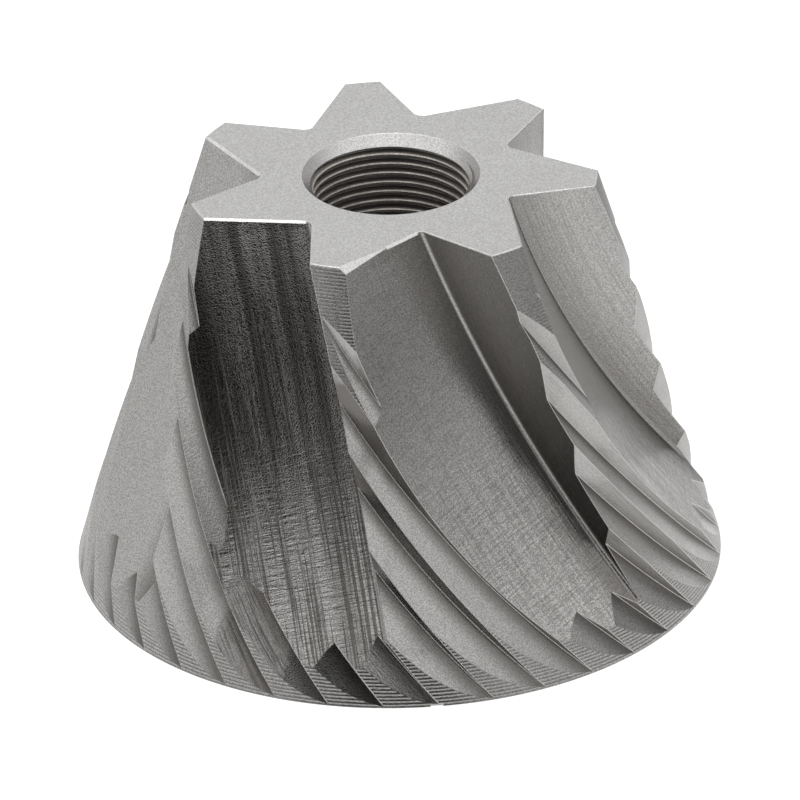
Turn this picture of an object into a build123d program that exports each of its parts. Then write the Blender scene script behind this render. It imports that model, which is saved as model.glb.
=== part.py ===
from build123d import *
from math import cos, radians, sin, sqrt, tan
import os

# Conical grinder burr, the inner one of a pair: one piece of hardened steel.
# The axis is Z and the origin is the centre of the base, with the small end up.
# Lengths are millimetres and angles are degrees.

# Blank, a plain cone with its point cut off
base_diameter = 63.0
top_diameter = 39.7
height = 41.1

# Bore, at the size it is drilled to before its fine thread is cut
bore_diameter = 15.0
top_chamfer = 1.1
base_chamfer = 1.0

# Deep flutes, each milled by the end and the rim of one large cutter.
# The root of a flute runs from a valley in the top face down to its foot on the cone.
# The end of the cutter is a flat cone, and a small radius joins it to the rim.
flute_count = 7
flute_valley_radius = 12.4
flute_foot = 4.5
flute_twist_angle = 36.5
flute_approach_angle = 29.3
flute_phase = 77.2
flute_cutter_radius = 100.0
flute_corner_radius = 0.4
flute_end_angle = 1.8

# Fine grooves, helical, with a steep flank and a gentle flank.
# The line of the roots lies under the cone between its foot and its top.
# Its depth is the one half way, and a skew below zero moves the deepest place down.
groove_count = 37
groove_lead = 203.0
groove_foot = 0.2
groove_top = 36.4
groove_depth = 1.76
groove_skew_ratio = -0.25
groove_phase = -44.4

# The ridges between the grooves. Outside their own foot and top they would stand proud
# of the cone, and a land of the turned blank is left there.
ridge_foot = 7.3
ridge_top = 27.2
ridge_drop = 0.33

# Share of one pitch that the steep flank takes, at the groove's foot and at its top
foot_steep_ratio = 0.05
top_steep_ratio = 0.82

# The grooved form is made this much longer than the blank at both ends,
# and its helical edges pass through this many points
end_margin = 1.0
helix_points = 11

base_radius = base_diameter / 2
top_radius = top_diameter / 2
bore_radius = bore_diameter / 2
groove_pitch = 360 / groove_count


def cone_radius(z):
    """Radius of the blank at height z."""
    return base_radius + (top_radius - base_radius) * z / height


def on_circle(radius, angle, z):
    """Point at a radius, a polar angle and a height."""
    return Vector(radius * cos(radians(angle)), radius * sin(radians(angle)), z)


def turned_blank():
    """The cone with its chamfered bore, as it leaves the lathe."""
    section = Polyline(
        (bore_radius + base_chamfer, 0),
        (base_radius, 0),
        (top_radius, height),
        (bore_radius + top_chamfer, height),
        (bore_radius, height - top_chamfer),
        (bore_radius, base_chamfer),
        close=True,
    )
    return revolve(Plane.XZ * make_face(section), Axis.Z)


def flute_cutter():
    """The cutter that mills the flute whose valley lies on the X axis."""
    # Half of its section, with the tip of the flat cone on the axis
    tip = -flute_cutter_radius * tan(radians(flute_end_angle))
    back = base_diameter
    section = make_face(
        Polyline(
            (0, tip),
            (flute_cutter_radius, 0),
            (flute_cutter_radius, back),
            (0, back),
            close=True,
        )
    )
    corner = section.vertices().sort_by_distance((flute_cutter_radius, 0))[0]
    cutter = revolve(Plane.XZ * fillet(corner, flute_corner_radius), Axis.Z)

    # Its centre lies outwards from the middle of the root's chord, square to it
    valley = Vector(flute_valley_radius, 0, height)
    foot = on_circle(cone_radius(flute_foot), flute_twist_angle, flute_foot)
    chord = foot - valley
    across = on_circle(1, flute_approach_angle, 0)
    outwards = (across - Vector(0, 0, 1) * (across.dot(chord) / chord.Z)).normalized()
    reach = sqrt(flute_cutter_radius**2 - (chord.length / 2) ** 2)
    centre = (valley + foot) / 2 + outwards * reach
    return Plane(origin=centre, x_dir=outwards, z_dir=chord.cross(outwards)) * cutter


def helix_edge(offset_of, share_of):
    """Smooth edge along the burr, at a depth under the cone and a share of the pitch."""
    low = -end_margin
    high = height + end_margin
    points = []
    for step in range(helix_points):
        z = low + (high - low) * step / (helix_points - 1)
        angle = share_of(z) * groove_pitch - 360 * z / groove_lead
        points.append(on_circle(cone_radius(z) - offset_of(z), angle, z))
    return Spline(points)


def grooved_form():
    """Solid with every groove, wider than the blank where the grooves have run out."""

    def root_offset(z):
        rise = (z - groove_foot) / (groove_top - groove_foot)
        return 4 * groove_depth * rise * (1 - rise) * (1 + groove_skew_ratio * (2 * rise - 1))

    def ridge_offset(z):
        rise = (z - ridge_foot) / (ridge_top - ridge_foot)
        return 4 * ridge_drop * rise * (1 - rise)

    def steep_share(z):
        rise = (z - groove_foot) / (groove_top - groove_foot)
        return foot_steep_ratio + (top_steep_ratio - foot_steep_ratio) * rise

    root = helix_edge(root_offset, lambda z: 0)
    ridge = helix_edge(ridge_offset, steep_share)
    next_root = root.rotate(Axis.Z, groove_pitch)
    steep_flank = Face.make_surface_from_curves(root.edge(), ridge.edge())
    gentle_flank = Face.make_surface_from_curves(ridge.edge(), next_root.edge())

    flanks = []
    for index in range(groove_count):
        turn = groove_phase + index * groove_pitch
        flanks.append(steep_flank.rotate(Axis.Z, turn))
        flanks.append(gentle_flank.rotate(Axis.Z, turn))

    caps = []
    for end in (0, 1):
        corners = []
        for index in range(groove_count):
            turn = groove_phase + index * groove_pitch
            corners.append((root @ end).rotate(Axis.Z, turn))
            corners.append((ridge @ end).rotate(Axis.Z, turn))
        caps.append(make_face(Polyline(*corners, close=True)).face())
    return Solid(Shell(flanks + caps))


def conical_burr():
    """The finished burr."""
    cutter = Rot(0, 0, flute_phase) * flute_cutter()
    flutes = []
    for index in range(flute_count):
        flutes.append(Rot(0, 0, -index * 360 / flute_count) * cutter)
    return (turned_blank() & grooved_form()) - flutes


os.makedirs("parts", exist_ok=True)
burr = conical_burr()
burr.label = "conical_burr"
export_step(burr, "parts/conical_burr.step")
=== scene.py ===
"""Conical coffee grinder burr in machined steel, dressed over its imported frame."""

from math import atan2, cos, pi, radians, sin, sqrt, tan, tau

import bmesh
import bpy
from bpy.props import FloatProperty, FloatVectorProperty, IntProperty, PointerProperty
from mathutils import Matrix, Vector


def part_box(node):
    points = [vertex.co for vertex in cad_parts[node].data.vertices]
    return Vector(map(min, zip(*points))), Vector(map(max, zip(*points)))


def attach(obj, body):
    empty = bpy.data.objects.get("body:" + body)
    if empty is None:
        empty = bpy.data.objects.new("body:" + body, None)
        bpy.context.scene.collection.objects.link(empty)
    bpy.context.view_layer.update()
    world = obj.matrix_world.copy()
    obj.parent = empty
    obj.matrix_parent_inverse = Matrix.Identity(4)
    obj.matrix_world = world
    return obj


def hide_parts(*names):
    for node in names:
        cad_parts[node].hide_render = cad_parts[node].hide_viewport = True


bl_info = {
    "name": "Conical grinder burr",
    "version": (1, 0, 0),
    "blender": (4, 5, 0),
    "location": "View3D > Sidebar > Burr",
    "description": "Builds a conical coffee grinder burr and the studio it stands in",
    "category": "Object",
}

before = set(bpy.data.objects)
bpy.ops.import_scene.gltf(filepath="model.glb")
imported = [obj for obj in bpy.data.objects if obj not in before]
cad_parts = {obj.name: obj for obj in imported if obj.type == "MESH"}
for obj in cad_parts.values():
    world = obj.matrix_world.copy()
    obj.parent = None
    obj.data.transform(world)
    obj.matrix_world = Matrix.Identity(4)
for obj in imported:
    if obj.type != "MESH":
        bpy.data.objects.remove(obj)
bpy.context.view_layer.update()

MM = 0.001
Z_AXIS = Vector((0.0, 0.0, 1.0))
ORIGIN = Vector((0.0, 0.0, 0.0))

# Each flute has its own place in the cut map, this far from the next, so that no two look alike
FLUTE_SPACING = 1000.0

# Flutes with marks of their own, counted from 0: one back has long streaks, one back is plain
# and one face is darkened by painted shade
STREAKED_FLUTE = 4
PLAIN_FLUTE = 5
SHADED_FACE_FLUTE = 3

# Middles, in millimetres, of the strip of land where the turning marks are deepest, of the
# grooves whose steep flanks are darkest, and of the grooves that are lined most deeply
STRIPED_LAND = (-3.7, -20.9, 35.4)
DARK_FLANK_GROOVES = (-1.5, -23.5, 26.0)
LINED_GROOVES = (-14.4, -26.3, 4.2)

# Steps round the blank, along the path of the flute cutter, round one turn of the thread
# and round a countersink
BLANK_STEPS = 720
CUTTER_STEPS = 120
THREAD_STEPS = 60
SINK_STEPS = 360

# Steps across one flank of a groove, and rows up the grooved form
FLANK_STEPS = 6
FORM_ROWS = 86

# Points of a tool that lie closer than this are one point
WELD = 0.0001 * MM

# Directions in the studio, as azimuth and elevation in degrees
OPENING = (-4.0, 17.0)
DOOR = (105.0, -8.0)
SHADED_FLOOR = (125.0, 0.0)

node_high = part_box("conical_burr")[1]


def millimetres(name, description, default):
    """Setting for a length, with its default in millimetres."""
    return FloatProperty(
        name=name, description=description, default=default * MM, unit="LENGTH", precision=5)


def degrees(name, description, default):
    """Setting for an angle, with its default in degrees."""
    return FloatProperty(
        name=name, description=description, default=radians(default), subtype="ANGLE")


def fraction(name, description, default, low=0.0, high=1.0):
    """Setting for a share of a whole."""
    return FloatProperty(
        name=name, description=description, default=default, subtype="FACTOR", min=low, max=high)


def tint(name, description, default):
    """Setting for a colour."""
    return FloatVectorProperty(
        name=name, description=description, default=default, subtype="COLOR", min=0.0, max=1.0)


def light_level(name, description, default):
    """Setting for a strength or a share of light."""
    return FloatProperty(name=name, description=description, default=default, min=0.0)


class BurrSizes(bpy.types.PropertyGroup):
    """Sizes of the burr: the solid's, a few of them trimmed, and those of its thread and wear."""

    base_radius: FloatProperty(
        name="Base radius", description="Radius of the cone at its base",
        default=min(node_high[0], node_high[1]), unit="LENGTH", precision=5)
    top_radius: millimetres("Top radius", "Radius of the cone at its small end", 19.85)
    height: FloatProperty(
        name="Height", description="Height of the burr",
        default=node_high[2], unit="LENGTH", precision=5)
    bore_radius: millimetres("Bore radius", "Radius of the bore at the crests of its thread", 7.5)
    back_rim: millimetres(
        "Back rim", "Width of the deburred edge between a flute's back and the top face", 0.30)
    top_rim: millimetres("Top rim", "Width of the other edges of the top face", 0.13)
    worn_tip: millimetres("Worn tip", "Depth of the wear on the tip of the worn tooth", 0.38)
    worn_length: millimetres(
        "Worn length", "Length of the wear along the edge of the worn tooth", 5.6)
    nick_direction: degrees("Nick direction", "Direction of the nick in the base edge", -84.1)
    nick_width: millimetres("Nick width", "Width of the nick along the base edge", 1.2)
    nick_depth: millimetres("Nick depth", "Depth of the nick in the base edge", 0.20)
    worn_flute: IntProperty(
        name="Worn flute", description="Flute whose back has the worn tooth, counted from 0",
        default=3, min=0)
    thread_depth: millimetres("Thread depth", "Depth of the thread in the bore", 0.54)
    thread_pitch: millimetres("Thread pitch", "Pitch of the thread in the bore", 1.0)
    top_chamfer: millimetres("Top chamfer", "Chamfer of the bore at the small end", 1.1)
    base_chamfer: millimetres("Base chamfer", "Chamfer of the bore at the base", 1.0)

    flute_count: IntProperty(
        name="Flutes", description="Number of deep flutes", default=7, min=1)
    flute_valley: millimetres("Flute valley", "Radius of a flute's root in the top face", 12.4)
    flute_foot: millimetres("Flute foot", "Height at which a flute's root leaves the cone", 4.5)
    flute_twist: degrees("Flute twist", "Turn of a flute between its valley and its foot", 36.5)
    flute_approach: degrees("Flute approach", "Direction that the cutter comes from", 29.1)
    flute_phase: degrees("Flute phase", "Direction of the first flute's valley", 77.2)
    cutter_radius: millimetres(
        "Cutter radius", "Radius of the cutter that mills the flutes", 100.0)
    cutter_corner: millimetres(
        "Cutter corner", "Radius on the rim of the cutter, left in a flute's root", 0.4)
    cutter_end: degrees("Cutter end", "Angle of the flat cone on the end of the cutter", 1.9)
    cutter_rim: degrees(
        "Cutter rim", "Angle by which the rim of the cutter widens away from its end", 0.19)

    groove_count: IntProperty(
        name="Grooves", description="Number of fine grooves", default=37, min=3)
    groove_lead: millimetres("Groove lead", "Height of one full turn of a groove", 203.0)
    groove_foot: millimetres(
        "Groove foot", "Height at which a groove's root leaves the cone below", 0.2)
    groove_top: millimetres(
        "Groove top", "Height at which a groove's root leaves the cone above", 36.4)
    groove_depth: millimetres(
        "Groove depth", "Depth of a groove's root under the cone, half way up", 1.81)
    groove_skew: fraction(
        "Groove skew", "Below zero, the deepest place lies in the lower half", -0.25, low=-1.0)
    groove_hollow: fraction(
        "Groove hollow", "Hollow of a groove's flanks, as a share of their width", 0.025, high=0.2)
    groove_phase: degrees(
        "Groove phase", "Direction of the first groove's root at the base", -44.4)
    ridge_foot: millimetres("Ridge foot", "Height under which the ridges reach the cone", 7.4)
    ridge_top: millimetres("Ridge top", "Height over which the ridges reach the cone", 27.1)
    ridge_drop: millimetres("Ridge drop", "Greatest depth of a ridge under the cone", 0.31)
    steep_share_foot: fraction(
        "Steep share at foot", "Share of a pitch that the steep flank takes below", 0.05)
    steep_share_top: fraction(
        "Steep share at top", "Share of a pitch that the steep flank takes above", 0.82)


class SteelLook(bpy.types.PropertyGroup):
    """Colours of the steel."""

    ground_steel: tint(
        "Ground steel", "Colour of the turned and ground faces", (0.57, 0.565, 0.557))
    faced_steel: tint(
        "Faced steel", "Colour of the flat face of the small end", (0.61, 0.607, 0.602))
    milled_steel: tint("Milled steel", "Colour of the milled flutes", (0.63, 0.62, 0.605))
    # This dark colour of oil and dust also serves as painted shade in the roots of the grooves and
    # flutes, over one flute face and on the upward faces of the thread
    film_and_shade: tint("Film", "Colour of the dark film in roots and marks", (0.14, 0.129, 0.119))
    bare_edge: tint("Bare edge", "Colour of worn edges and chamfers", (0.85, 0.845, 0.835))
    thread_oil: tint("Thread oil", "Colour of the oil in the thread", (0.64, 0.595, 0.55))


class StageSettings(bpy.types.PropertyGroup):
    """The camera and the light."""

    camera_distance: millimetres("Camera distance", "Distance of the camera from the burr", 975.3)
    camera_elevation: degrees("Camera elevation", "Angle of the camera above the floor", 28.46)
    camera_roll: degrees("Camera roll", "Turn of the camera about its line of sight", 1.32)
    camera_right: millimetres(
        "Camera right", "Offset of the camera to the right of the axis", 0.37)
    camera_up: millimetres(
        "Camera up", "Offset of the camera above the base, across its line of sight", 14.36)
    camera_lens: FloatProperty(
        name="Lens", description="Focal length on a sensor 36 mm wide", default=447.6)
    floor_colour: tint("Floor", "Colour of the paper floor", (0.42, 0.42, 0.42))
    floor_glow: light_level("Floor glow", "Light that the floor gains for the camera", 0.80)
    floor_mirrored_glow: light_level(
        "Mirrored floor glow", "Light that the floor gains in reflections", 0.30)
    floor_near_glow: light_level(
        "Near floor glow", "Light that the floor beside the burr gains in reflections", 0.47)
    opening_light: light_level(
        "Opening light", "Share of the light that comes from the camera's opening", 0.02)
    door_light: light_level("Door light", "Share of the light that comes from the dim side", 0.40)
    horizon_light: light_level(
        "Horizon light", "Share of the light that comes from the height of the floor", 0.56)
    upper_light: light_level("Upper light", "How much brighter the walls are above", 1.5)
    side_light: light_level("Side light", "Light from the front and the sides", 0.60)
    back_light: light_level("Back light", "Light from behind", 0.76)
    softbox_size: millimetres("Softbox size", "Width of the lamp overhead", 500.0)
    softbox_height: millimetres("Softbox height", "Height of the lamp overhead", 900.0)
    softbox_power: FloatProperty(
        name="Softbox power", description="Power of the lamp overhead", default=1.4, unit="POWER")


def cone_radius(sizes, z):
    """Radius of the blank at height z."""
    return sizes.base_radius + (sizes.top_radius - sizes.base_radius) * z / sizes.height


def on_circle(radius, angle, z):
    """Point at a radius, a polar angle and a height."""
    return Vector((radius * cos(angle), radius * sin(angle), z))


def new_tool():
    """Empty mesh with a cut map, which says where on the cutter's path a face lies."""
    bm = bmesh.new()
    bm.loops.layers.uv.new("cut")
    return bm


def move(bm, offset):
    """Move a whole mesh."""
    bmesh.ops.translate(bm, verts=bm.verts, vec=offset)


def rotate(bm, angle, axis, centre=ORIGIN):
    """Turn a whole mesh about an axis through a centre."""
    bmesh.ops.rotate(bm, verts=bm.verts, cent=centre, matrix=Matrix.Rotation(angle, 3, axis))


def open_section(bm, points):
    """Line through radii and heights in the plane of X and Z, ready to spin."""
    verts = [bm.verts.new((radius, 0.0, z)) for radius, z in points]
    edges = [bm.edges.new(pair) for pair in zip(verts, verts[1:])]
    return verts + edges


def new_object(name, bm, materials):
    """Object with a finished mesh, and the materials of its faces."""
    mesh = bpy.data.meshes.new(name)
    bm.to_mesh(mesh)
    bm.free()
    for material in materials:
        mesh.materials.append(material)
    made = bpy.data.objects.new(name, mesh)
    bpy.context.scene.collection.objects.link(made)
    return made


def cut(target, operand, operation):
    """Apply one exact boolean to the target and delete the operand."""
    modifier = target.modifiers.new("cut", "BOOLEAN")
    modifier.operation = operation
    modifier.solver = "EXACT"
    modifier.material_mode = "TRANSFER"
    modifier.object = operand
    graph = bpy.context.evaluated_depsgraph_get()
    mesh = bpy.data.meshes.new_from_object(target.evaluated_get(graph))
    target.modifiers.clear()
    old = target.data
    target.data = mesh
    bpy.data.meshes.remove(old)
    operand_mesh = operand.data
    bpy.data.objects.remove(operand)
    bpy.data.meshes.remove(operand_mesh)


def turned_blank(sizes, materials):
    """The cone without its bore: its section spun about the axis."""
    bm = new_tool()
    low = (sizes.base_radius, 0.0)
    high = (sizes.top_radius, sizes.height)
    section = open_section(bm, [(0.0, 0.0), low, high, (0.0, sizes.height)])
    bmesh.ops.spin(
        bm, geom=section, cent=ORIGIN, axis=Z_AXIS, steps=BLANK_STEPS, angle=tau, use_merge=True)
    bmesh.ops.remove_doubles(bm, verts=bm.verts, dist=WELD)
    bmesh.ops.dissolve_degenerate(bm, edges=bm.edges, dist=WELD)
    bmesh.ops.recalc_face_normals(bm, faces=bm.faces)
    for face in bm.faces:
        face.normal_update()
        if face.normal.z > 0.9:
            face.material_index = 1
        elif face.normal.z < -0.9:
            face.material_index = 2
    return new_object("blank", bm, [materials["land"], materials["top"], materials["base"]])


def groove_section(sizes, z):
    """Section of the grooved form at height z, from one root to just before the next."""
    pitch = tau / sizes.groove_count
    rise = (z - sizes.groove_foot) / (sizes.groove_top - sizes.groove_foot)
    share = sizes.steep_share_foot + (sizes.steep_share_top - sizes.steep_share_foot) * rise
    depth = 4 * sizes.groove_depth * rise * (1 - rise) * (1 + sizes.groove_skew * (2 * rise - 1))
    ridge_rise = (z - sizes.ridge_foot) / (sizes.ridge_top - sizes.ridge_foot)
    drop = 4 * sizes.ridge_drop * ridge_rise * (1 - ridge_rise)
    root_radius = cone_radius(sizes, z) - depth
    root = on_circle(root_radius, 0.0, z)
    ridge = on_circle(cone_radius(sizes, z) - drop, share * pitch, z)
    next_root = on_circle(root_radius, pitch, z)

    # Each flank is hollow, in proportion to its width and to the depth of the groove
    hollow = sizes.groove_hollow * root_radius * pitch * max(0.0, depth) / sizes.groove_depth
    points = []
    for low, width in ((root, share), (next_root, 1 - share)):
        flank = []
        for step in range(FLANK_STEPS + 1):
            along = step / FLANK_STEPS
            point = low.lerp(ridge, along)
            sag = 4 * hollow * width * along * (1 - along)
            flank.append(point - Vector((point.x, point.y, 0.0)).normalized() * sag)
        points += flank[:-1] if low is root else flank[:0:-1]
    return points


def grooved_form(sizes, materials):
    """Solid with every fine groove: a grid rolled up into a twisted ratchet form."""
    bm = new_tool()
    uv = bm.loops.layers.uv["cut"]
    steps = 2 * FLANK_STEPS
    columns = steps * sizes.groove_count
    bmesh.ops.create_grid(bm, x_segments=columns, y_segments=FORM_ROWS, size=0.5, calc_uvs=True)
    margin = 1.0 * MM
    pitch = tau / sizes.groove_count
    places = {}
    for vert in bm.verts:
        column = round((vert.co.x + 0.5) * columns)
        row = round((vert.co.y + 0.5) * FORM_ROWS)
        places[vert] = (column, row)
    sections = []
    for row in range(FORM_ROWS + 1):
        z = -margin + (sizes.height + 2 * margin) * row / FORM_ROWS
        sections.append(groove_section(sizes, z))
    for vert, (column, row) in places.items():
        groove, step = divmod(column, steps)
        point = sections[row][step]
        turn = sizes.groove_phase + groove * pitch - tau * point.z / sizes.groove_lead
        vert.co = Matrix.Rotation(turn, 3, "Z") @ point
    for face in bm.faces:
        for loop in face.loops:
            column, row = places[loop.vert]
            loop[uv].uv = (column / steps, row / FORM_ROWS)
    bmesh.ops.remove_doubles(bm, verts=bm.verts, dist=WELD)
    bmesh.ops.holes_fill(bm, edges=bm.edges, sides=0)
    bmesh.ops.recalc_face_normals(bm, faces=bm.faces)
    return new_object("grooved_form", bm, [materials["groove"]])


def flute_frame(sizes):
    """Valley, chord, outward direction, cutter centre and cutter axis of an unturned flute."""
    valley = Vector((sizes.flute_valley, 0.0, sizes.height))
    foot = on_circle(cone_radius(sizes, sizes.flute_foot), sizes.flute_twist, sizes.flute_foot)
    chord = foot - valley
    across = on_circle(1.0, sizes.flute_approach, 0.0)
    outwards = (across - Z_AXIS * (across.dot(chord) / chord.z)).normalized()
    reach = sqrt(sizes.cutter_radius ** 2 - (chord.length / 2) ** 2)
    centre = (valley + foot) / 2 + outwards * reach
    return valley, chord, outwards, centre, chord.cross(outwards).normalized()


def turn_to_flute(sizes, bm, index):
    """Turn a tool to the place of one flute."""
    turn = sizes.flute_phase - index * tau / sizes.flute_count
    rotate(bm, turn, "Z")


def flute_cutter(sizes, index, materials):
    """The part of the milling cutter that cuts one flute: its rim section spun about its axis."""
    _, chord, outwards, centre, axis = flute_frame(sizes)
    bm = new_tool()
    uv = bm.loops.layers.uv["cut"]
    inner = sizes.cutter_radius * 0.6
    width = 40.0 * MM
    hollow = axis * (sizes.cutter_radius - inner) * tan(sizes.cutter_end)
    far_radius = sizes.cutter_radius + width * tan(sizes.cutter_rim)
    corners = [
        centre - outwards * inner - hollow,
        centre - outwards * sizes.cutter_radius,
        centre - outwards * far_radius + axis * width,
        centre - outwards * inner + axis * width,
    ]
    verts = [bm.verts.new(corner) for corner in corners]
    bm.faces.new(verts)
    if sizes.cutter_corner > 0:
        bmesh.ops.bevel(bm, geom=[verts[1]], offset=sizes.cutter_corner, offset_type="OFFSET",
                        segments=5, profile=0.5, affect="VERTICES", material=-1)
    half_sweep = radians(17.0)
    rotate(bm, -half_sweep, axis, centre)
    bmesh.ops.spin(
        bm, geom=bm.faces[:], cent=centre, axis=axis, steps=CUTTER_STEPS, angle=2 * half_sweep)
    bmesh.ops.remove_doubles(bm, verts=bm.verts, dist=WELD)
    bmesh.ops.recalc_face_normals(bm, faces=bm.faces)
    # The rim of the cutter leaves the back of the flute, its end the face and its corner the root
    for face in bm.faces:
        face.normal_update()
        lean = abs(face.normal.dot(axis))
        face.material_index = 0 if lean < 0.1 else 1 if lean > 0.99 else 2
        for loop in face.loops:
            arm = loop.vert.co - centre
            axial = arm.dot(axis)
            radial = arm - axis * axial
            swing = atan2(radial.dot(chord.normalized()), -radial.dot(outwards))
            depth = axial - (sizes.cutter_radius - radial.length)
            along = index * FLUTE_SPACING + swing * sizes.cutter_radius / MM
            loop[uv].uv = (along, depth / MM)
    turn_to_flute(sizes, bm, index)
    return new_object("flute_cutter", bm, [
        materials["flute_back"], materials["flute_face"], materials["flute_root"]])


def tip_wear(sizes, materials):
    """Block whose underside takes the worn corner off one tooth, deepest at the tip."""
    valley, _, _, centre, axis = flute_frame(sizes)
    inwards = (centre - valley).normalized()
    tangent = axis.cross(inwards)
    edge = (axis - tangent * (axis.z / tangent.z)).normalized()
    # The tip is where the edge in the top face reaches the cone
    along = edge.dot(valley)
    reach = sqrt(along ** 2 + sizes.top_radius ** 2 - sizes.flute_valley ** 2) - along
    tip = valley + edge * reach
    start = tip - edge * sizes.worn_length
    bisector = (Z_AXIS + inwards).normalized()
    slope = (tip - bisector * sizes.worn_tip - start).normalized()
    across = bisector.cross(slope).normalized()
    upwards = slope.cross(across)
    bm = new_tool()
    bmesh.ops.create_cube(bm, size=2 * sizes.worn_length)
    move(bm, Vector((1.0, 0.0, 1.0)) * sizes.worn_length)
    turn = Matrix((slope, across, upwards)).transposed()
    bmesh.ops.transform(bm, matrix=Matrix.Translation(start) @ turn.to_4x4(), verts=bm.verts)
    turn_to_flute(sizes, bm, sizes.worn_flute)
    return new_object("tip_wear", bm, [materials["chamfer"]])


def base_nick(sizes, materials):
    """Block that takes a small nick out of the base edge."""
    bm = new_tool()
    bmesh.ops.create_cube(bm, size=sizes.nick_width)
    move(bm, Vector((sizes.nick_width / 2 - sizes.nick_depth, 0.0, 0.0)))
    lean = radians(40.0)
    rotate(bm, lean, "Y")
    move(bm, Vector((sizes.base_radius, 0.0, 0.0)))
    rotate(bm, sizes.nick_direction, "Z")
    return new_object("base_nick", bm, [materials["base"]])


def thread_tap(sizes, materials):
    """The tap that cuts the thread: its section drawn up a helix and closed at both ends."""
    bm = new_tool()
    crest = sizes.bore_radius
    root = sizes.bore_radius + sizes.thread_depth
    pitch = sizes.thread_pitch
    low = -2 * pitch
    # Section of one turn: its radii, each at a share of the pitch
    turn = [(crest, 0.0), (crest, 0.10), (root, 0.45), (root, 0.55), (crest, 0.90), (crest, 1.0)]
    section = open_section(bm, [(radius, low + share * pitch) for radius, share in turn])
    turns = round(sizes.height / pitch) + 3
    bmesh.ops.spin(
        bm, geom=section, cent=ORIGIN, axis=Z_AXIS, dvec=Z_AXIS * pitch / THREAD_STEPS,
        steps=THREAD_STEPS * turns, angle=tau * turns)
    bmesh.ops.remove_doubles(bm, verts=bm.verts, dist=10 * WELD)
    rims = [edge for edge in bm.edges if edge.is_boundary]
    ends = bmesh.ops.extrude_edge_only(bm, edges=rims)["geom"]
    for vert in ends:
        if isinstance(vert, bmesh.types.BMVert):
            flat = Vector((vert.co.x, vert.co.y, 0.0)).normalized() * crest
            flat.z = low - pitch if vert.co.z < sizes.height / 2 else sizes.height + 4 * pitch
            vert.co = flat
    bmesh.ops.remove_doubles(bm, verts=bm.verts, dist=10 * WELD)
    bmesh.ops.dissolve_degenerate(bm, edges=bm.edges, dist=WELD)
    bmesh.ops.holes_fill(bm, edges=bm.edges, sides=0)
    bmesh.ops.recalc_face_normals(bm, faces=bm.faces)
    return new_object("thread_tap", bm, [materials["thread"]])


def countersink(sizes, chamfer, z, upwards, materials):
    """Cone that cuts the chamfer of the bore at one end."""
    bm = new_tool()
    depth = 3 * chamfer
    mouth = sizes.bore_radius + chamfer
    bmesh.ops.create_cone(bm, cap_ends=True, segments=SINK_STEPS, radius1=mouth - 2 * chamfer,
                          radius2=mouth + chamfer, depth=depth)
    move(bm, Z_AXIS * (depth / 2 - 2 * chamfer))
    if not upwards:
        rotate(bm, pi, "X")
    move(bm, Z_AXIS * z)
    bmesh.ops.recalc_face_normals(bm, faces=bm.faces)
    return new_object("countersink", bm, [materials["chamfer"]])


def put(tree, kind, inputs=None, **options):
    """Add a node with its options, and set or link its inputs by name or by number."""
    node = tree.nodes.new(kind)
    for option, value in options.items():
        setattr(node, option, value)
    for name, value in (inputs or {}).items():
        if isinstance(value, bpy.types.NodeSocket):
            tree.links.new(value, node.inputs[name])
        else:
            node.inputs[name].default_value = value
    return node


def calculate(tree, operation, *values):
    """Output of a Math node."""
    return put(tree, "ShaderNodeMath", dict(enumerate(values)), operation=operation).outputs[0]


def times(tree, first, second):
    """Product of two values."""
    return calculate(tree, "MULTIPLY", first, second)


def scaled(tree, value, slope, start):
    """Value times a slope, plus a start."""
    return calculate(tree, "MULTIPLY_ADD", value, slope, start)


def measure(tree, operation, *vectors):
    """What a Vector Math node measures."""
    node = put(tree, "ShaderNodeVectorMath", dict(enumerate(vectors)), operation=operation)
    return node.outputs["Value"]


def object_place(tree):
    """Place on the object, in metres."""
    return put(tree, "ShaderNodeTexCoord").outputs["Object"]


def parts(tree, vector):
    """The X, Y and Z of a vector."""
    return put(tree, "ShaderNodeSeparateXYZ", {"Vector": vector}).outputs


def blend(tree, share, first, second):
    """Mix of two colours."""
    colours = {"Fac": share, "Color1": first, "Color2": second}
    return put(tree, "ShaderNodeMixRGB", colours, use_clamp=True).outputs["Color"]


def spread(tree, value, low, high, new_low=0.0, new_high=1.0):
    """Value moved from one range to another along a smooth step."""
    node = put(tree, "ShaderNodeMapRange", {
        "Value": value, "From Min": low, "From Max": high, "To Min": new_low, "To Max": new_high},
        interpolation_type="SMOOTHSTEP")
    return node.outputs["Result"]


def noise(tree, vector, scale, detail=2.0, roughness=0.5, distortion=0.0):
    """Value of a noise texture, from 0 to 1."""
    node = put(tree, "ShaderNodeTexNoise", {
        "Vector": vector, "Scale": scale, "Detail": detail, "Roughness": roughness,
        "Distortion": distortion})
    return node.outputs["Fac"]


def in_plane(tree, along, across):
    """Vector in a plane, from its two parts."""
    return put(tree, "ShaderNodeCombineXYZ", {"X": along, "Y": across}).outputs["Vector"]


def new_group(name, inputs, outputs):
    """Shader group with its sockets, and the nodes at its two ends."""
    group = bpy.data.node_groups.new(name, "ShaderNodeTree")
    for socket, value in inputs.items():
        made = group.interface.new_socket(socket, in_out="INPUT", socket_type="NodeSocketFloat")
        made.default_value = value
    for socket in outputs:
        kind = "NodeSocketVector" if socket == "Normal" else "NodeSocketFloat"
        group.interface.new_socket(socket, in_out="OUTPUT", socket_type=kind)
    return group, put(group, "NodeGroupInput").outputs, put(group, "NodeGroupOutput").inputs


def near(tree, centre, inner, outer, rise=1.0):
    """Mask round a place in millimetres: 1 within inner and 0 past outer, taller by rise."""
    squeeze = Vector((1.0, 1.0, 1.0 / rise))
    squeezed = put(
        tree, "ShaderNodeVectorMath", {0: object_place(tree), 1: squeeze}, operation="MULTIPLY")
    middle = Vector(centre) * squeeze * MM
    away = measure(tree, "DISTANCE", squeezed.outputs["Vector"], middle)
    return spread(tree, away, inner * MM, outer * MM, 1.0, 0.0)


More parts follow.
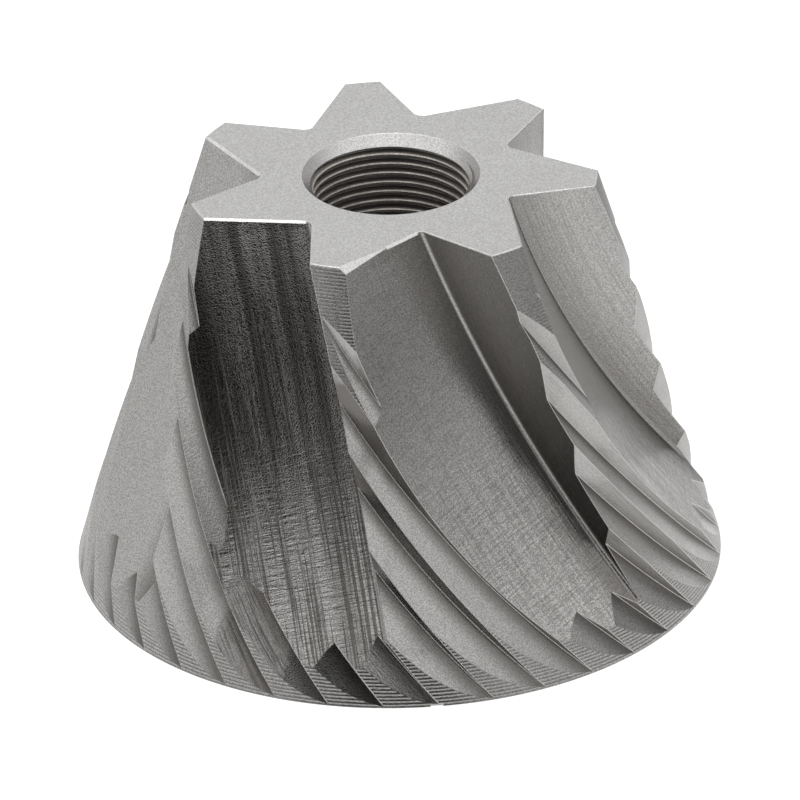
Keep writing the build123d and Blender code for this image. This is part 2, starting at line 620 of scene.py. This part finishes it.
def grain_group():
    """Fine grain of the steel, and the cloudy tone of its coat of oil and dust."""
    group, given, made = new_group("steel_grain", {"Size": 0.14}, ["Fine", "Cloud"])
    place = object_place(group)
    scale = calculate(group, "DIVIDE", 1.0 / MM, given["Size"])
    group.links.new(spread(group, noise(group, place, scale, 1.0, 0.5), 0.36, 0.64), made["Fine"])
    group.links.new(noise(group, place, 160.0, 3.0, 0.55), made["Cloud"])
    return group


def turning_group():
    """Scallops that the lathe left round the axis, one for each turn, worn off in places."""
    group, given, made = new_group(
        "turning_marks", {"Feed": 0.325, "Waver": 0.3}, ["Scallop", "Cusp"])
    place = object_place(group)
    axes = parts(group, place)
    turn = calculate(group, "DIVIDE", calculate(group, "ARCTAN2", axes["Y"], axes["X"]), tau)
    climb = calculate(group, "DIVIDE", axes["Z"], times(group, given["Feed"], MM))
    waver = times(group, noise(group, place, 260.0, 2.0), given["Waver"])
    phase = calculate(group, "ADD", calculate(group, "ADD", climb, turn), waver)
    centred = calculate(group, "SUBTRACT", calculate(group, "FRACT", phase), 0.5)
    scallop = times(group, times(group, centred, centred), 4.0)
    worn = spread(group, noise(group, place, 210.0, 2.0), 0.46, 0.64, 0.10, 0.9)
    kept = spread(group, axes["Z"], 6.0 * MM, 11.0 * MM, 1.0, 0.0)
    strip = near(group, STRIPED_LAND, 0.7, 2.1, 2.6)
    depth = calculate(group, "MAXIMUM", calculate(group, "MAXIMUM", worn, kept), strip)
    group.links.new(times(group, scallop, depth), made["Scallop"])
    cusp = spread(group, scallop, 0.30, 0.90)
    group.links.new(times(group, cusp, depth), made["Cusp"])
    return group


def milling_group():
    """Marks of the milling cutter: ripples across its path, and lines and streaks along it."""
    group, given, made = new_group(
        "milling_marks", {"Ripple length": 0.34, "Line width": 0.30},
        ["Ripple", "Line", "Streak", "Flute", "Down", "Across"])
    path = put(group, "ShaderNodeUVMap", uv_map="cut").outputs["UV"]
    axes = parts(group, path)
    along = axes["X"]
    across = axes["Y"]
    ripple_along = calculate(group, "DIVIDE", along, given["Ripple length"])
    ripple_place = in_plane(group, ripple_along, times(group, across, 0.40))
    group.links.new(noise(group, ripple_place, 1.0, 2.0, 0.6, 0.9), made["Ripple"])
    line_across = calculate(group, "DIVIDE", across, given["Line width"])
    line_place = in_plane(group, times(group, along, 0.045), line_across)
    group.links.new(noise(group, line_place, 1.0, 3.0, 0.65, 0.15), made["Line"])
    streak_place = in_plane(group, times(group, along, 0.03), times(group, across, 0.7))
    group.links.new(noise(group, streak_place, 1.0, 3.0, 0.6), made["Streak"])
    flute = calculate(group, "ROUND", calculate(group, "DIVIDE", along, FLUTE_SPACING))
    group.links.new(flute, made["Flute"])
    start = times(group, flute, FLUTE_SPACING)
    group.links.new(calculate(group, "SUBTRACT", along, start), made["Down"])
    group.links.new(across, made["Across"])
    return group


def edge_group():
    """Worn edges: a normal that rounds them, and a mask of how far it leaves the true one."""
    group, given, made = new_group("edge_wear", {"Width": 0.12}, ["Edge", "Normal"])
    radius = times(group, given["Width"], MM)
    rounded = put(group, "ShaderNodeBevel", {"Radius": radius}, samples=6).outputs["Normal"]
    plain = put(group, "ShaderNodeNewGeometry").outputs["Normal"]
    likeness = measure(group, "DOT_PRODUCT", rounded, plain)
    group.links.new(spread(group, likeness, 0.995, 0.93), made["Edge"])
    group.links.new(rounded, made["Normal"])
    return group


def effect(tree, group, inputs=None):
    """Outputs of a shared effect, placed with a finish's own values."""
    return put(tree, "ShaderNodeGroup", inputs, node_tree=group).outputs


def new_steel(name, groups, edge_width=0.12):
    """Steel material, its node tree, and the outputs of its grain and of its worn edges."""
    material = bpy.data.materials.new("steel_" + name)
    material.use_nodes = True
    tree = material.node_tree
    tree.nodes["Principled BSDF"].inputs["Metallic"].default_value = 1.0
    grain = effect(tree, groups["grain"])
    edge = effect(tree, groups["edge"], {"Width": edge_width})
    return material, tree, grain, edge


def finish(tree, look, base, film_and_shade_layers, roughness, edge, heights, bare_edges=True):
    """Link the steel under its dark layers, some of them painted shade, its bare edges, its
    roughness and its bumps to the shader.
    """
    colour = (*base, 1.0)
    for share in film_and_shade_layers:
        colour = blend(tree, share, colour, (*look.film_and_shade, 1.0))
    if bare_edges:
        colour = blend(tree, edge["Edge"], colour, (*look.bare_edge, 1.0))
    normal = edge["Normal"]
    for height, depth in heights:
        relief = {"Height": height, "Distance": depth * MM, "Normal": normal}
        normal = put(tree, "ShaderNodeBump", relief).outputs["Normal"]
    shader = tree.nodes["Principled BSDF"].inputs
    tree.links.new(colour, shader["Base Color"])
    tree.links.new(roughness, shader["Roughness"])
    tree.links.new(normal, shader["Normal"])


def turned_land(groups, look):
    """Cone of the blank, with the scallops of its turning."""
    material, tree, grain, edge = new_steel("land", groups)
    turning = effect(tree, groups["turning"])
    film_and_shade_layers = [
        times(tree, turning["Cusp"], 0.75),
        times(tree, grain["Fine"], 0.50),
    ]
    roughness = spread(tree, grain["Cloud"], 0.2, 0.8, 0.20, 0.30)
    heights = [(turning["Scallop"], 0.018), (grain["Fine"], 0.005)]
    finish(tree, look, look.ground_steel, film_and_shade_layers, roughness, edge, heights)
    return material


def faced_top(groups, look):
    """Flat face of the small end, evenly matt."""
    material, tree, grain, edge = new_steel("top", groups, edge_width=0.14)
    film_and_shade_layers = [
        times(tree, grain["Fine"], 0.34),
        spread(tree, grain["Cloud"], 0.35, 0.75, 0.0, 0.05),
    ]
    roughness = spread(tree, grain["Cloud"], 0.2, 0.8, 0.34, 0.42)
    finish(tree, look, look.faced_steel, film_and_shade_layers, roughness, edge, [(grain["Fine"], 0.004)])
    return material


def plain_base(groups, look):
    """Underside, turned flat, with its rings."""
    material, tree, grain, edge = new_steel("base", groups)
    place = object_place(tree)
    axes = parts(tree, place)
    radius = measure(tree, "LENGTH", in_plane(tree, axes["X"], axes["Y"]))
    rings = calculate(tree, "PINGPONG", calculate(tree, "DIVIDE", radius, 0.4 * MM), 0.5)
    film_and_shade_layers = [
        spread(tree, grain["Cloud"], 0.3, 0.7, 0.0, 0.3),
        times(tree, grain["Fine"], 0.3),
    ]
    roughness = spread(tree, grain["Cloud"], 0.2, 0.8, 0.28, 0.42)
    heights = [(rings, 0.03), (grain["Fine"], 0.004)]
    finish(tree, look, look.ground_steel, film_and_shade_layers, roughness, edge, heights)
    return material


def cut_groove(groups, look):
    """Flanks of the fine grooves, lined along the cut, with painted shade in their roots, and
    darker steep flanks, most of all in a few grooves.
    """
    material, tree, grain, edge = new_steel("groove", groups)
    path = put(tree, "ShaderNodeUVMap", uv_map="cut").outputs["UV"]
    axes = parts(tree, path)
    line_place = in_plane(tree, times(tree, axes["X"], 38.0), times(tree, axes["Y"], 5.0))
    lines = noise(tree, line_place, 1.0, 3.0, 0.65)
    # The first half of a groove in the cut map is its steep flank, the second its gentle one
    from_root = calculate(tree, "PINGPONG", axes["X"], 0.5)
    steep = calculate(tree, "LESS_THAN", calculate(tree, "FRACT", axes["X"]), 0.5)
    # The steep flanks are darker, most of all in a few grooves, except in ragged patches high up
    reach = scaled(tree, grain["Cloud"], 0.45, axes["Y"])
    dark_flank = times(tree, steep, spread(tree, reach, 1.05, 0.98))
    dark_flank_level = scaled(tree, near(tree, DARK_FLANK_GROOVES, 6.5, 12.0), 0.75, 0.08)
    # Painted shade darkens each groove towards its root, more on the gentle flank than on the steep
    # one
    root_shade_level = scaled(tree, steep, -0.65, 0.85)
    grain_level = scaled(tree, steep, -0.20, 0.42)
    deep = near(tree, LINED_GROOVES, 3.0, 4.4, 2.2)
    lined = calculate(tree, "MAXIMUM", deep, spread(tree, grain["Cloud"], 0.54, 0.72, 0.05, 0.26))
    line_level = times(tree, lined, spread(tree, lines, 0.44, 0.60))
    film_and_shade_layers = [
        times(tree, dark_flank, dark_flank_level),
        times(tree, root_shade_level, spread(tree, from_root, 0.30, 0.0)),
        times(tree, deep, 0.30),
        times(tree, line_level, 0.80),
        times(tree, grain["Fine"], grain_level),
    ]
    roughness = spread(tree, grain["Cloud"], 0.2, 0.8, 0.16, 0.26)
    line_height = times(tree, calculate(tree, "SUBTRACT", lines, 0.5), lined)
    heights = [(line_height, 0.20), (grain["Fine"], 0.004)]
    finish(tree, look, look.milled_steel, film_and_shade_layers, roughness, edge, heights)
    return material


def milled_back(groups, look):
    """Hollow back of a flute, cut by the rim of the cutter, with one of the backs streaked."""
    material, tree, grain, edge = new_steel("flute_back", groups)
    milling = effect(tree, groups["milling"])
    streaked = calculate(tree, "COMPARE", milling["Flute"], STREAKED_FLUTE, 0.5)
    plain = calculate(tree, "COMPARE", milling["Flute"], PLAIN_FLUTE, 0.5)
    low = spread(tree, milling["Down"], -6.0, 10.0)

    # The marks grow towards the foot, and one flute has hardly any
    marked = scaled(tree, plain, -0.85, 1.0)
    ripple_depth = times(tree, marked, scaled(tree, low, 0.80, 0.20))
    ripples = times(tree, milling["Ripple"], ripple_depth)
    ripple_level = times(tree, marked, scaled(tree, low, 0.13, 0.13))
    line_level = times(tree, marked, scaled(tree, streaked, 0.8, 0.2))
    line_start = scaled(tree, low, -0.08, 0.57)
    line_end = calculate(tree, "ADD", line_start, 0.10)
    lines = times(tree, spread(tree, milling["Line"], line_start, line_end), line_level)

    # The streaked back has dark streaks of oil and dust on its upper part, and painted shade
    # darkens every back beside its root, more towards the foot and least on the streaked back
    streaks = spread(tree, milling["Streak"], 0.38, 0.60, 0.08, 0.85)
    upper = times(tree, streaked, spread(tree, milling["Down"], -3.0, 11.0, 1.0, 0.0))
    outer = spread(tree, milling["Across"], 9.0, 12.5, 0.0, 0.75)
    down_root = spread(tree, milling["Down"], -20.0, 8.0, 0.35, 0.75)
    root_shade_level = times(tree, down_root, scaled(tree, streaked, -0.9, 1.0))
    root = times(tree, spread(tree, milling["Across"], 4.6, 0.3), root_shade_level)
    off_band = calculate(tree, "ABSOLUTE", calculate(tree, "SUBTRACT", milling["Across"], 3.4))
    band_level = times(tree, streaked, spread(tree, milling["Down"], -4.0, 4.0))
    band = times(tree, spread(tree, off_band, 0.6, 2.0, 0.45, 0.0), band_level)

    # A ragged burr lies just under its deburred rim
    place = object_place(tree)
    height = parts(tree, place)["Z"]
    under_rim = spread(tree, height, node_high[2] - 0.75 * MM, node_high[2] - 0.45 * MM)
    ragged = spread(tree, noise(tree, place, 2600.0, 2.0), 0.46, 0.56)
    ragged_burr = times(tree, times(tree, under_rim, ragged), streaked)
    grain_level = scaled(tree, upper, 0.25, 0.50)
    film_and_shade_layers = [
        times(tree, streaks, upper),
        times(tree, outer, upper),
        root,
        band,
        times(tree, lines, 0.85),
        spread(tree, milling["Ripple"], 0.46, 0.66, 0.0, ripple_level),
        times(tree, ragged_burr, 0.8),
        times(tree, grain["Fine"], grain_level),
    ]
    roughness = spread(tree, milling["Line"], 0.3, 0.7, 0.14, 0.24)
    line_height = times(tree, lines, scaled(tree, low, 0.8, 0.2))
    grain_height = times(tree, grain["Fine"], scaled(tree, upper, 0.5, 0.5))
    heights = [(ripples, 0.050), (line_height, -0.056), (grain_height, 0.008)]
    finish(tree, look, look.milled_steel, film_and_shade_layers, roughness, edge, heights)
    return material


def milled_face(groups, look):
    """Cutting face of a flute, cut in fine arcs by the end of the cutter, with painted shade
    towards its root and over one whole face.
    """
    material, tree, grain, edge = new_steel("flute_face", groups)
    milling = effect(tree, groups["milling"], {"Line width": 0.20})
    # Painted shade darkens one whole face, more towards the foot
    shaded_face = calculate(tree, "COMPARE", milling["Flute"], SHADED_FACE_FLUTE, 0.5)
    face_shade = times(tree, shaded_face, spread(tree, milling["Down"], -26.0, 10.0, 0.30, 0.80))
    arc_level = scaled(tree, shaded_face, -0.16, 0.22)
    film_and_shade_layers = [
        face_shade,
        # Painted shade darkens every face towards its root
        spread(tree, milling["Across"], -6.0, 0.0, 0.02, 0.44),
        spread(tree, milling["Line"], 0.46, 0.64, 0.0, arc_level),
        times(tree, grain["Fine"], 0.44),
    ]
    roughness = spread(tree, milling["Line"], 0.3, 0.7, 0.18, 0.28)
    heights = [(milling["Line"], 0.004), (grain["Fine"], 0.005)]
    finish(tree, look, look.milled_steel, film_and_shade_layers, roughness, edge, heights)
    return material


def milled_root(groups, look):
    """Root of a flute: painted shade in two bands along it, which leaves a bright line between
    them.
    """
    material, tree, grain, edge = new_steel("flute_root", groups)
    milling = effect(tree, groups["milling"])
    off_line = calculate(tree, "ABSOLUTE", calculate(tree, "SUBTRACT", milling["Across"], 0.05))
    # Painted shade darkens the root except on a narrow line along it
    film_and_shade_layers = [
        spread(tree, off_line, 0.06, 0.20, 0.0, 0.55),
        times(tree, grain["Fine"], 0.40),
    ]
    roughness = spread(tree, grain["Cloud"], 0.2, 0.8, 0.18, 0.28)
    heights = [(grain["Fine"], 0.005)]
    finish(tree, look, look.milled_steel, film_and_shade_layers, roughness, edge, heights, bare_edges=False)
    return material


def oiled_thread(groups, look):
    """Thread, brown with old oil, with painted shade on the upward faces of its flanks, and bright
    on its crests.
    """
    material, tree, grain, edge = new_steel("thread", groups, edge_width=0.08)
    coordinates = put(tree, "ShaderNodeTexCoord").outputs
    axes = parts(tree, coordinates["Object"])
    radius = measure(tree, "LENGTH", in_plane(tree, axes["X"], axes["Y"]))
    upwards = parts(tree, coordinates["Normal"])["Z"]

    # Old oil darkens the flanks away from the crest, and painted shade darkens their upward faces
    # further
    deep = spread(tree, radius, 7.55 * MM, 7.70 * MM)
    oil = times(tree, deep, spread(tree, upwards, 0.1, 0.4, 0.35, 0.90))
    film_and_shade_layers = [
        oil,
        spread(tree, grain["Cloud"], 0.35, 0.75, 0.0, 0.3),
        times(tree, grain["Fine"], 0.45),
    ]
    roughness = spread(tree, grain["Cloud"], 0.2, 0.8, 0.34, 0.46)
    finish(tree, look, look.thread_oil, film_and_shade_layers, roughness, edge, [(grain["Fine"], 0.012)])
    return material


def bright_chamfer(groups, look):
    """Deburred edges, worn bare, and the chamfers of the bore, which are a little duller."""
    material, tree, grain, edge = new_steel("chamfer", groups)
    place = object_place(tree)
    axes = parts(tree, place)
    radius = measure(tree, "LENGTH", in_plane(tree, axes["X"], axes["Y"]))
    bore = spread(tree, radius, 8.8 * MM, 9.4 * MM, 1.0, 0.0)
    side = spread(tree, calculate(tree, "ABSOLUTE", axes["X"]), 4.0 * MM, 8.2 * MM, 0.10, 0.50)
    film_and_shade_layers = [
        times(tree, bore, side),
        spread(tree, grain["Cloud"], 0.3, 0.8, 0.0, 0.15),
        times(tree, grain["Fine"], 0.34),
    ]
    roughness = spread(tree, grain["Cloud"], 0.2, 0.8, 0.24, 0.34)
    heights = [(grain["Fine"], 0.004)]
    finish(tree, look, look.bare_edge, film_and_shade_layers, roughness, edge, heights, bare_edges=False)
    return material


def steel_finishes(look):
    """The finish that each cut leaves on the steel, by name."""
    groups = {
        "grain": grain_group(),
        "turning": turning_group(),
        "milling": milling_group(),
        "edge": edge_group(),
    }
    return {
        "land": turned_land(groups, look),
        "top": faced_top(groups, look),
        "base": plain_base(groups, look),
        "groove": cut_groove(groups, look),
        "flute_back": milled_back(groups, look),
        "flute_face": milled_face(groups, look),
        "flute_root": milled_root(groups, look),
        "thread": oiled_thread(groups, look),
        "chamfer": bright_chamfer(groups, look),
    }


def merge_close(bm):
    """Merge what the cuts left too close together."""
    bmesh.ops.remove_doubles(bm, verts=bm.verts, dist=0.006 * MM)
    bmesh.ops.dissolve_degenerate(bm, edges=bm.edges, dist=0.002 * MM)


def edges_between(bm, names, finishes):
    """Edges whose faces have these finishes and no other."""
    wanted = {names.index("steel_" + name) for name in finishes}
    found = []
    for edge in bm.edges:
        if {face.material_index for face in edge.link_faces} == wanted:
            found.append(edge)
    return found


def join_flat(bm, names, end):
    """Join the wedges that the spin left in a flat end."""
    bmesh.ops.dissolve_limit(
        bm, angle_limit=radians(0.5), use_dissolve_boundaries=False, verts=[],
        edges=edges_between(bm, names, (end,)), delimit={"MATERIAL"})


def deburr(bm, names, finishes, width):
    """Bevel the edges between two finishes, and leave them bare."""
    rims = edges_between(bm, names, finishes)
    made = bmesh.ops.bevel(
        bm, geom=rims, offset=width, offset_type="WIDTH", segments=1, profile=0.5, affect="EDGES",
        clamp_overlap=False, material=-1)
    for face in made["faces"]:
        face.material_index = names.index("steel_chamfer")


def finish_mesh(burr, sizes):
    """Join the flat ends, deburr the top and mark the sharp edges."""
    bm = bmesh.new()
    bm.from_mesh(burr.data)
    merge_close(bm)
    names = [material.name for material in burr.data.materials]
    join_flat(bm, names, "top")
    join_flat(bm, names, "base")
    deburr(bm, names, ("top", "flute_back"), sizes.back_rim)
    deburr(bm, names, ("top", "flute_face"), sizes.top_rim)
    deburr(bm, names, ("top", "land"), sizes.top_rim)
    merge_close(bm)
    for edge in bm.edges:
        finishes = [names[face.material_index] for face in edge.link_faces]
        one_cut = len(set(finishes)) == 1 or all("flute" in name for name in finishes)
        edge.smooth = one_cut and edge.calc_face_angle(pi) < radians(30.0)
    for face in bm.faces:
        face.smooth = True
    bm.to_mesh(burr.data)
    bm.free()


class BURR_OT_conical_burr(bpy.types.Operator):
    """Cut the burr from its turned blank and give it its machined finishes"""

    bl_idname = "burr.conical_burr"
    bl_label = "Conical burr"

    def execute(self, context):
        sizes = context.scene.burr_sizes
        materials = steel_finishes(context.scene.burr_look)
        burr = turned_blank(sizes, materials)
        cut(burr, grooved_form(sizes, materials), "INTERSECT")
        for index in range(sizes.flute_count):
            cut(burr, flute_cutter(sizes, index, materials), "DIFFERENCE")
        cut(burr, thread_tap(sizes, materials), "DIFFERENCE")
        for tool in (
            countersink(sizes, sizes.top_chamfer, sizes.height, True, materials),
            countersink(sizes, sizes.base_chamfer, 0.0, False, materials),
            tip_wear(sizes, materials),
            base_nick(sizes, materials),
        ):
            cut(burr, tool, "DIFFERENCE")
        burr.name = "burr_body"
        burr.data.name = "burr_body"
        finish_mesh(burr, sizes)
        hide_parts("conical_burr")
        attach(burr, "root")
        return {"FINISHED"}


def towards(azimuth, elevation):
    """Direction in the studio, where azimuth 0 is the camera's side and 90 is its right."""
    turn = radians(azimuth)
    rise = radians(elevation)
    return (sin(turn) * cos(rise), -cos(turn) * cos(rise), sin(rise))


def white_floor(settings):
    """White paper: it glows for the camera and in reflections, and still takes the shadow."""
    material = bpy.data.materials.new("white_paper")
    material.use_nodes = True
    tree = material.node_tree
    tree.nodes.remove(tree.nodes["Principled BSDF"])
    rays = put(tree, "ShaderNodeLightPath").outputs
    mirrored = calculate(tree, "MAXIMUM", rays["Is Glossy Ray"], rays["Is Transmission Ray"])
    seen = times(tree, rays["Is Camera Ray"], settings.floor_glow)
    # In reflections it is brightest beside the burr, and dark on its shaded side
    place = object_place(tree)
    radius = measure(tree, "LENGTH", place)
    level = spread(
        tree, radius, 35 * MM, 100 * MM, settings.floor_near_glow, settings.floor_mirrored_glow)
    shaded = measure(tree, "DOT_PRODUCT", place, towards(*SHADED_FLOOR))
    lit = spread(tree, shaded, 40 * MM, 130 * MM, level, 0.0)
    glow = scaled(tree, mirrored, lit, seen)
    paper = put(tree, "ShaderNodeBsdfDiffuse", {"Color": (*settings.floor_colour, 1.0)})
    light = put(tree, "ShaderNodeEmission", {"Strength": glow})
    both = put(tree, "ShaderNodeAddShader", {0: paper.outputs[0], 1: light.outputs[0]})
    tree.links.new(both.outputs[0], tree.nodes["Material Output"].inputs["Surface"])
    return material


def patch(tree, direction, middle, inner, outer, level):
    """Factor for a patch of the studio's wall: its level in the middle, 1 outside."""
    away = measure(tree, "DISTANCE", direction, middle)
    return spread(tree, away, inner, outer, level, 1.0)


def studio_world(settings):
    """Bright tent, dim at the height of the floor, with a dark opening towards the camera."""
    world = bpy.data.worlds.new("studio")
    world.use_nodes = True
    tree = world.node_tree
    direction = put(tree, "ShaderNodeTexCoord").outputs["Generated"]
    axes = parts(tree, direction)
    wall = spread(tree, axes["Y"], -0.4, 0.9, settings.side_light, settings.back_light)
    low = spread(tree, axes["Y"], -0.2, 0.35, settings.horizon_light, 1.0)
    horizon = spread(tree, axes["Z"], 0.0, 0.4, low, 1.0)
    upper = spread(tree, axes["Z"], 0.3, 0.65, 1.0, settings.upper_light)
    opening = patch(tree, direction, towards(*OPENING), 0.32, 0.66, settings.opening_light)
    door = patch(tree, direction, towards(*DOOR), 0.32, 0.62, settings.door_light)
    strength = times(tree, wall, horizon)
    for factor in (upper, opening, door):
        strength = times(tree, strength, factor)
    tree.links.new(strength, tree.nodes["Background"].inputs["Strength"])
    tree.nodes["Background"].inputs["Color"].default_value = (1.0, 1.0, 1.0, 1.0)
    return world


class BURR_OT_stage(bpy.types.Operator):
    """Set up the floor, the light and the camera"""

    bl_idname = "burr.stage"
    bl_label = "Stage"

    def execute(self, context):
        settings = context.scene.burr_stage
        scene = context.scene
        scene.view_settings.view_transform = "Standard"

        bm = bmesh.new()
        bmesh.ops.create_grid(bm, x_segments=1, y_segments=1, size=3.0)
        floor = new_object("floor", bm, [white_floor(settings)])
        scene.world = studio_world(settings)

        lamp = bpy.data.lights.new("softbox", "AREA")
        lamp.shape = "SQUARE"
        lamp.size = settings.softbox_size
        lamp.energy = settings.softbox_power
        softbox = bpy.data.objects.new("softbox", lamp)
        softbox.location = (0.0, 0.0, settings.softbox_height)
        scene.collection.objects.link(softbox)

        camera = bpy.data.cameras.new("camera")
        camera.lens = settings.camera_lens
        camera.sensor_width = 36.0
        camera.clip_end = 20.0
        camera_object = bpy.data.objects.new("camera", camera)
        scene.collection.objects.link(camera_object)
        tilt = settings.camera_elevation
        sight = Vector((0.0, cos(tilt), -sin(tilt)))
        upright = Vector((0.0, sin(tilt), cos(tilt)))
        right = Vector((1.0, 0.0, 0.0))
        offset = right * settings.camera_right + upright * settings.camera_up
        place = offset - sight * settings.camera_distance
        roll = settings.camera_roll
        local_x = right * cos(roll) - upright * sin(roll)
        local_y = right * sin(roll) + upright * cos(roll)
        turn = Matrix((local_x, local_y, -sight)).transposed().to_4x4()
        camera_object.matrix_world = Matrix.Translation(place) @ turn
        scene.camera = camera_object
        return {"FINISHED"}


class BURR_PT_panel(bpy.types.Panel):
    """Sidebar panel with the burr's sizes and its operators"""

    bl_idname = "BURR_PT_panel"
    bl_label = "Conical grinder burr"
    bl_space_type = "VIEW_3D"
    bl_region_type = "UI"
    bl_category = "Burr"

    def draw(self, context):
        for operator in (BURR_OT_conical_burr, BURR_OT_stage):
            self.layout.operator(operator.bl_idname)
        for group in (context.scene.burr_sizes, context.scene.burr_look, context.scene.burr_stage):
            for name in group.__annotations__:
                self.layout.prop(group, name)


classes = (BurrSizes, SteelLook, StageSettings, BURR_OT_conical_burr, BURR_OT_stage, BURR_PT_panel)


def register():
    """Add the classes and their settings to Blender."""
    for cls in classes:
        bpy.utils.register_class(cls)
    bpy.types.Scene.burr_sizes = PointerProperty(type=BurrSizes)
    bpy.types.Scene.burr_look = PointerProperty(type=SteelLook)
    bpy.types.Scene.burr_stage = PointerProperty(type=StageSettings)


def unregister():
    """Take the classes and their settings out again."""
    del bpy.types.Scene.burr_stage
    del bpy.types.Scene.burr_look
    del bpy.types.Scene.burr_sizes
    for cls in reversed(classes):
        bpy.utils.unregister_class(cls)


def main():
    """Build the burr and its stage."""
    register()
    bpy.ops.burr.conical_burr()
    bpy.ops.burr.stage()


if __name__ == "__main__":
    main()
